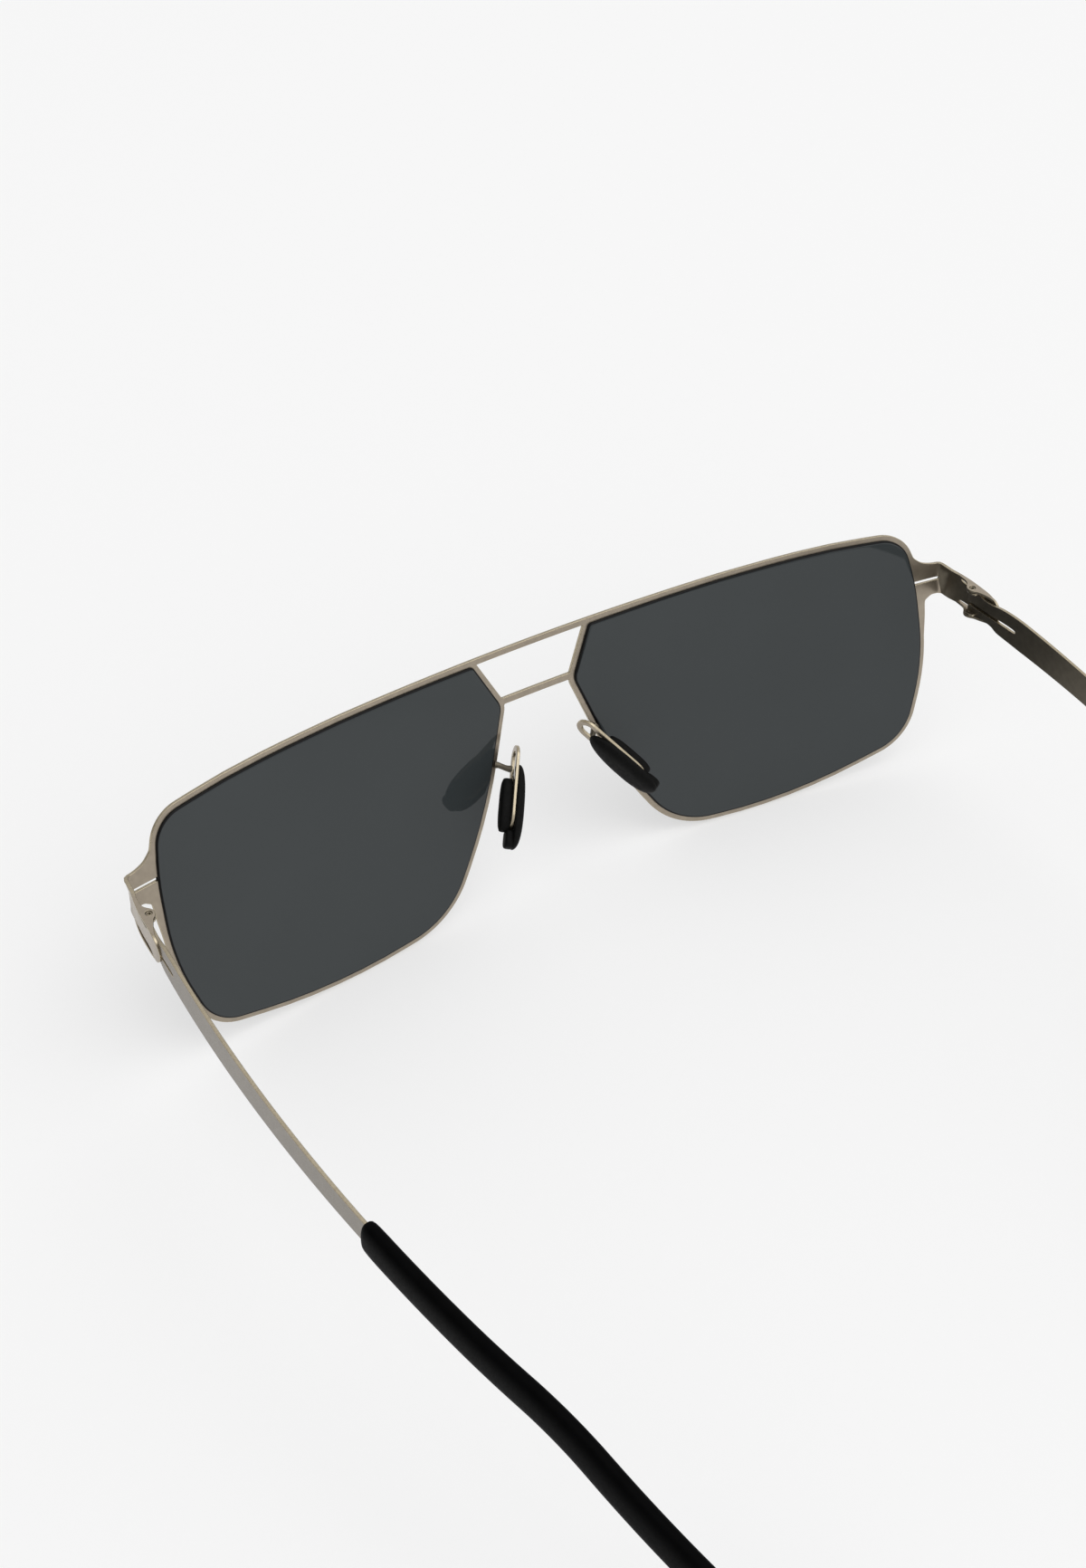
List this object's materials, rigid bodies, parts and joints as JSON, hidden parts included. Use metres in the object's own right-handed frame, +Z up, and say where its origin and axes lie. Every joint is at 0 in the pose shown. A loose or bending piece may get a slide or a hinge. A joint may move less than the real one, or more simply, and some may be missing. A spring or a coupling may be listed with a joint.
{
  "type": "sunglasses",
  "caption": "Rimmed geometric sunglasses with a double bridge, thin sheet-metal front, clip hinges, silicone nose pads and flat temples with slip-on tips.",
  "frame": {"origin": "on the surface the glasses stand on, under the middle of their whole length and on the mid-plane between the lenses", "axes": "+Z up, -Y out of the lenses' front, +X to the wearer's left"},
  "size_m": [0.1432, 0.1568, 0.0412],
  "materials": {
    "frame_metal": "satin champagne-grey coated spring steel",
    "tinted_lens": "smooth dark grey tint",
    "pad_silicone": "matte black silicone",
    "tip_sleeve": "satin black acetate"
  },
  "bodies": {
    "front": {"front_frame": "frame_metal", "lens_left": "tinted_lens", "lens_right": "tinted_lens", "pad_arm_left": "frame_metal", "pad_arm_right": "frame_metal", "nose_pad_left": "pad_silicone", "nose_pad_right": "pad_silicone"},
    "left_temple": {"temple_left": "frame_metal", "temple_tip_left": "tip_sleeve"},
    "right_temple": {"temple_right": "frame_metal", "temple_tip_right": "tip_sleeve"}
  },
  "joints": [
    {"name": "fold_left", "type": "hinge", "parent": "front", "child": "left_temple", "pos_m": [0.0701, -0.0599, 0.03169], "axis": [0, 0, 1], "range_deg": [0, 79]},
    {"name": "fold_right", "type": "hinge", "parent": "front", "child": "right_temple", "pos_m": [-0.0701, -0.0599, 0.03169], "axis": [0, 0, -1], "range_deg": [0, 73]}
  ]
}
